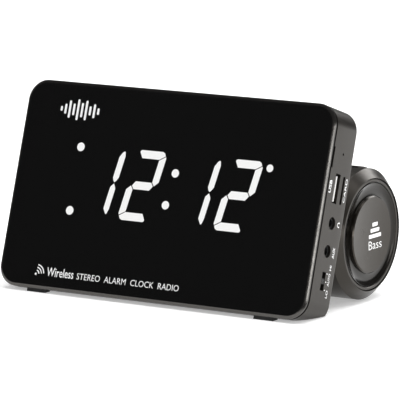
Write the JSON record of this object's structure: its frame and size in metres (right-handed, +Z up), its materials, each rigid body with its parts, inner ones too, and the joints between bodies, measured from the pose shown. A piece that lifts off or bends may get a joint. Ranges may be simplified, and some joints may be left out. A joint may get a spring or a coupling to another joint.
{
  "type": "clock radio",
  "caption": "Desk clock radio: a leaning rounded display slab with side sockets, carried on a horizontal speaker cylinder with top keys, rear grilles and round end radiators.",
  "frame": {"origin": "middle of the footprint, on the plane the feet stand on", "axes": "+X along the width to the side with the sockets, +Y from the display to the speaker cylinder, +Z up"},
  "size_m": [0.1612, 0.0906, 0.0924],
  "materials": {
    "satin_bronze": "satin",
    "satin_bronze_ring": "satin",
    "satin_bronze_disc": "satin",
    "cable": "matte",
    "surround_rubber": "gloss",
    "grille_metal": "satin",
    "pressed_steel": "satin",
    "magnet_iron": "matte",
    "cone_paper": "matte",
    "key_panel": "satin",
    "key_rubber": "matte",
    "circuit_board": "satin",
    "switch_plastic": "satin",
    "heatsink_aluminium": "satin",
    "capacitor_can": "satin",
    "black_plastic": "satin",
    "foot_rubber": "matte",
    "black_gloss": "gloss",
    "figure_light": "lit",
    "bright_trim": "polished",
    "frame_plastic": "satin",
    "screw_steel": "satin",
    "socket_metal": "satin",
    "socket_white": "satin",
    "chip_resin": "matte"
  },
  "bodies": {
    "radio": {"upper_shell": "satin_bronze", "lower_shell": "satin_bronze", "wire_loom": "cable", "end_ring_right": "satin_bronze_ring", "end_ring_left": "satin_bronze_ring", "radiator_surround_right": "surround_rubber", "radiator_surround_left": "surround_rubber", "speaker_grille_right": "grille_metal", "speaker_grille_left": "grille_metal", "driver_basket_right": "pressed_steel", "driver_basket_left": "pressed_steel", "driver_magnet_right": "magnet_iron", "driver_magnet_left": "magnet_iron", "driver_surround_right": "surround_rubber", "driver_surround_left": "surround_rubber", "key_strip": "key_panel", "key_board": "circuit_board", "key_switches": "switch_plastic", "amp_board": "circuit_board", "amp_heatsink": "heatsink_aluminium", "amp_capacitors": "capacitor_can", "power_inlet": "black_plastic", "rear_pads": "foot_rubber", "front_lens": "black_gloss", "lit_figures": "figure_light", "trim_ring": "bright_trim", "front_frame": "frame_plastic", "case_screws": "screw_steel", "rear_cover": "satin_bronze", "front_feet": "foot_rubber", "digit_block": "black_plastic", "display_board": "circuit_board", "board_link": "black_plastic", "main_board": "circuit_board", "board_screws": "screw_steel", "usb_socket": "socket_metal", "usb_tongue": "socket_white", "card_socket": "socket_metal", "headphone_jack": "black_plastic", "aux_jack": "black_plastic", "dimmer_switch": "black_plastic", "microphone": "socket_metal", "main_chips": "chip_resin", "cell_holder": "black_plastic", "backup_cell": "socket_metal"},
    "dimmer_knob": {"dimmer_slider": "black_plastic"},
    "snooze_key_cap": {"snooze_key": "key_rubber"},
    "key_right_1_cap": {"key_right_1": "key_rubber"},
    "key_right_2_cap": {"key_right_2": "key_rubber"},
    "key_right_3_cap": {"key_right_3": "key_rubber"},
    "key_right_4_cap": {"key_right_4": "key_rubber"},
    "key_left_1_cap": {"key_left_1": "key_rubber"},
    "key_left_2_cap": {"key_left_2": "key_rubber"},
    "key_left_3_cap": {"key_left_3": "key_rubber"},
    "key_left_4_cap": {"key_left_4": "key_rubber"},
    "radiator_right": {"radiator_plate_right": "satin_bronze_disc"},
    "cone_right": {"driver_cone_right": "cone_paper"},
    "radiator_left": {"radiator_plate_left": "satin_bronze_disc"},
    "cone_left": {"driver_cone_left": "cone_paper"}
  },
  "joints": [
    {"name": "dimmer_slide", "type": "slide", "parent": "radio", "child": "dimmer_knob", "axis": [0, 0.3074, 0.9516], "range_m": [-0.0024, 0.0024]},
    {"name": "snooze_key_press", "type": "slide", "parent": "radio", "child": "snooze_key_cap", "axis": [0, -0.3074, -0.9516], "range_m": [0, 0.0008], "stiffness_N_per_m": 500},
    {"name": "key_right_1_press", "type": "slide", "parent": "radio", "child": "key_right_1_cap", "axis": [0, -0.3074, -0.9516], "range_m": [0, 0.0008], "stiffness_N_per_m": 400},
    {"name": "key_right_2_press", "type": "slide", "parent": "radio", "child": "key_right_2_cap", "axis": [0, -0.3074, -0.9516], "range_m": [0, 0.0008], "stiffness_N_per_m": 400},
    {"name": "key_right_3_press", "type": "slide", "parent": "radio", "child": "key_right_3_cap", "axis": [0, -0.3074, -0.9516], "range_m": [0, 0.0008], "stiffness_N_per_m": 400},
    {"name": "key_right_4_press", "type": "slide", "parent": "radio", "child": "key_right_4_cap", "axis": [0, -0.3074, -0.9516], "range_m": [0, 0.0008], "stiffness_N_per_m": 400},
    {"name": "key_left_1_press", "type": "slide", "parent": "radio", "child": "key_left_1_cap", "axis": [0, -0.3074, -0.9516], "range_m": [0, 0.0008], "stiffness_N_per_m": 400},
    {"name": "key_left_2_press", "type": "slide", "parent": "radio", "child": "key_left_2_cap", "axis": [0, -0.3074, -0.9516], "range_m": [0, 0.0008], "stiffness_N_per_m": 400},
    {"name": "key_left_3_press", "type": "slide", "parent": "radio", "child": "key_left_3_cap", "axis": [0, -0.3074, -0.9516], "range_m": [0, 0.0008], "stiffness_N_per_m": 400},
    {"name": "key_left_4_press", "type": "slide", "parent": "radio", "child": "key_left_4_cap", "axis": [0, -0.3074, -0.9516], "range_m": [0, 0.0008], "stiffness_N_per_m": 400},
    {"name": "radiator_right_slide", "type": "slide", "parent": "radio", "child": "radiator_right", "axis": [1, 0, 0], "range_m": [-0.002, 0.002], "stiffness_N_per_m": 600},
    {"name": "cone_right_slide", "type": "slide", "parent": "radio", "child": "cone_right", "axis": [0, 0.9505, 0.3107], "range_m": [-0.001, 0.001], "stiffness_N_per_m": 500},
    {"name": "radiator_left_slide", "type": "slide", "parent": "radio", "child": "radiator_left", "axis": [-1, 0, 0], "range_m": [-0.002, 0.002], "stiffness_N_per_m": 600},
    {"name": "cone_left_slide", "type": "slide", "parent": "radio", "child": "cone_left", "axis": [0, 0.9505, 0.3107], "range_m": [-0.001, 0.001], "stiffness_N_per_m": 500}
  ]
}
